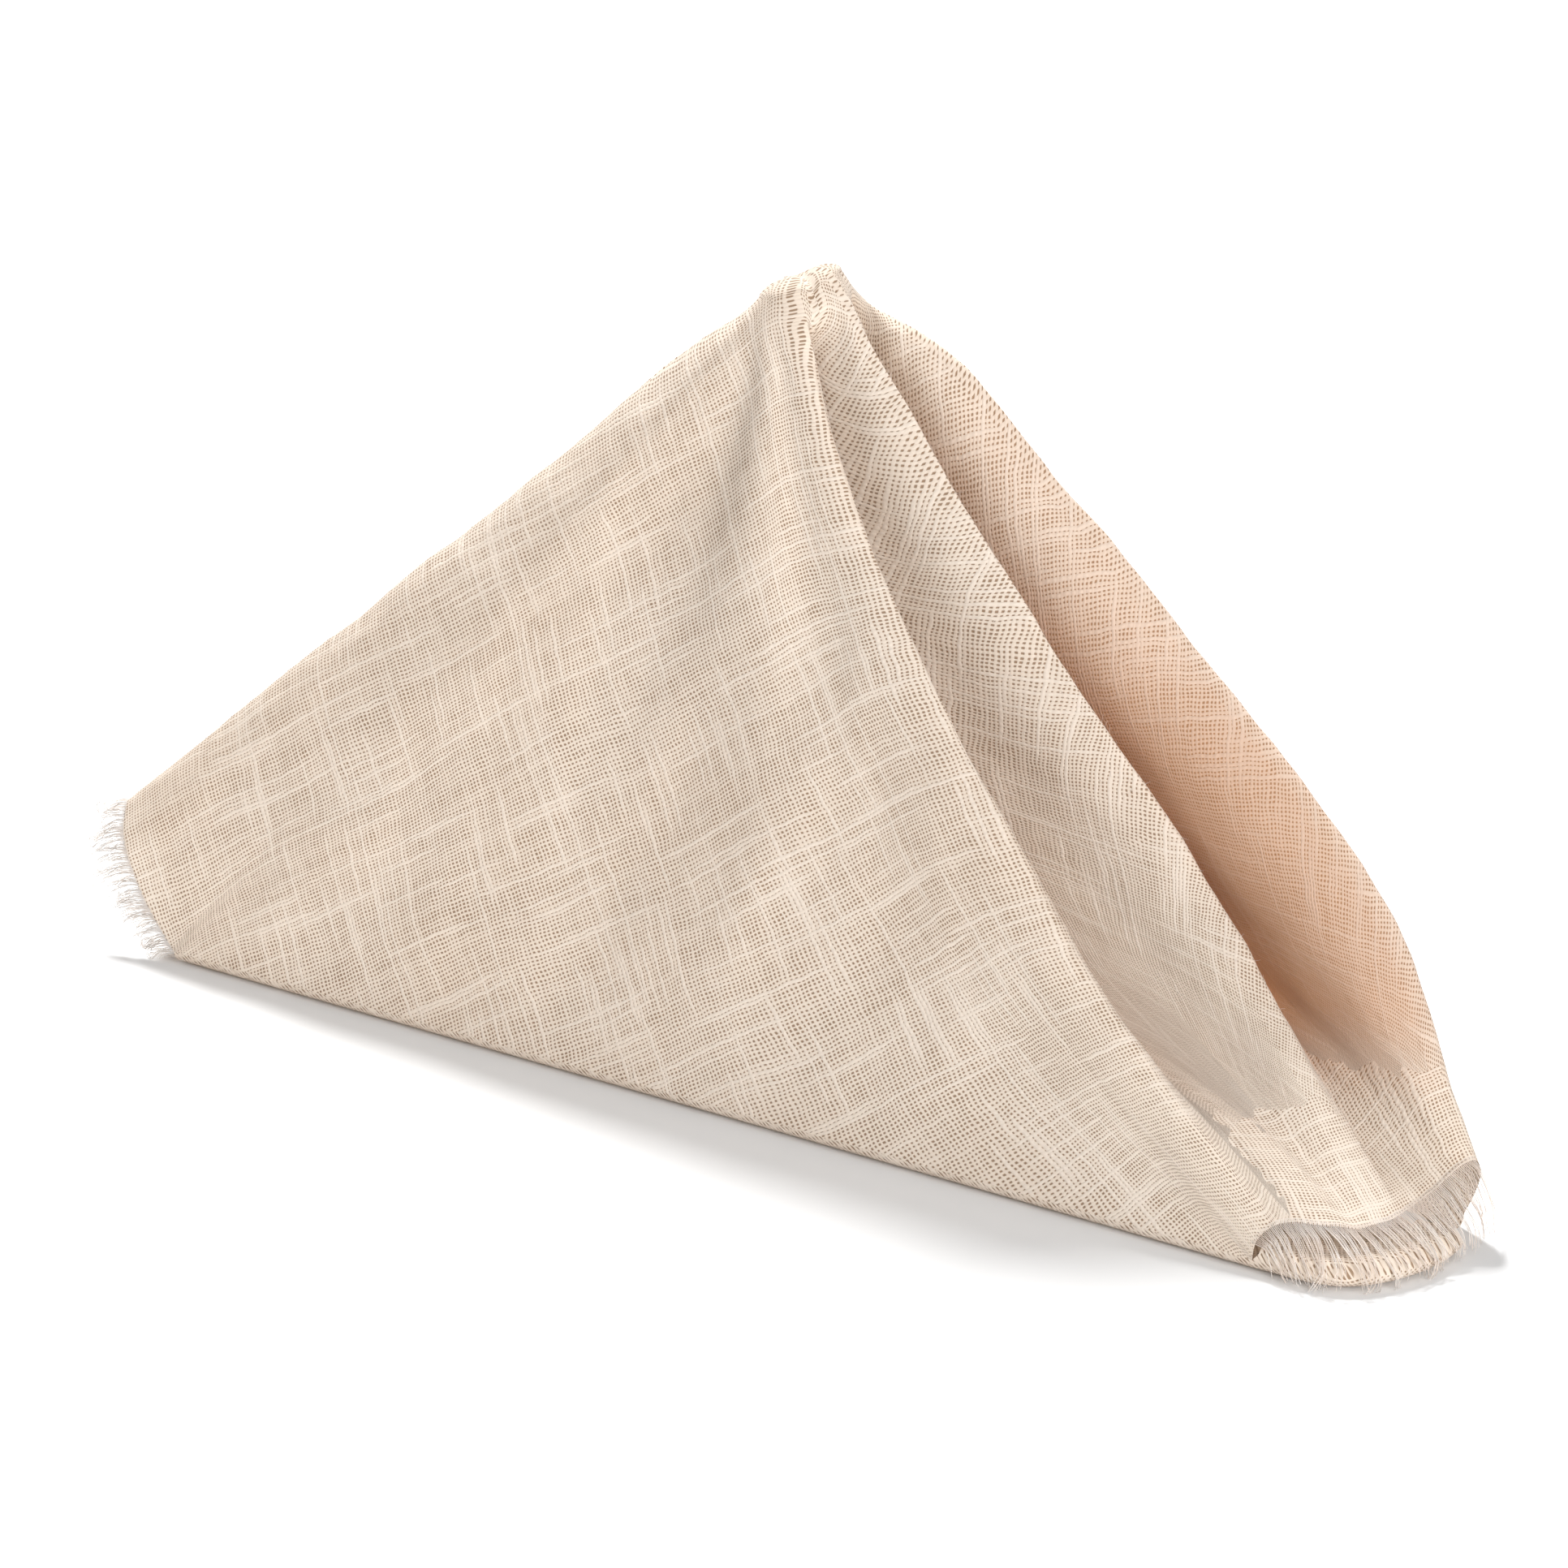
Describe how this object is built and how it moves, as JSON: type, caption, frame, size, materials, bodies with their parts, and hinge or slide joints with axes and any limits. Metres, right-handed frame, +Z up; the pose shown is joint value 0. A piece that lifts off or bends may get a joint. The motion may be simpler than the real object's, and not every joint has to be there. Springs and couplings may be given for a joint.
{
  "type": "folded cloth napkin",
  "caption": "Soft gauze table napkin folded to a point and stood up as a low tent, with deep falling folds and frayed raw edges.",
  "frame": {"origin": "centre of the bounding box, on the surface the napkin rests on", "axes": "+Z up; +X along the base from the long left end to the folded right end; the plain front wing faces -Y"},
  "size_m": [0.3642, 0.0778, 0.1762],
  "materials": {
    "cotton_gauze": "matte open slub weave",
    "frayed_cotton_left": "matte ravelled threads",
    "frayed_cotton_right": "matte ravelled threads"
  },
  "bodies": {
    "root": {"cloth": "cotton_gauze", "fringe_left": "frayed_cotton_left", "fringe_right": "frayed_cotton_right"}
  },
  "joints": []
}
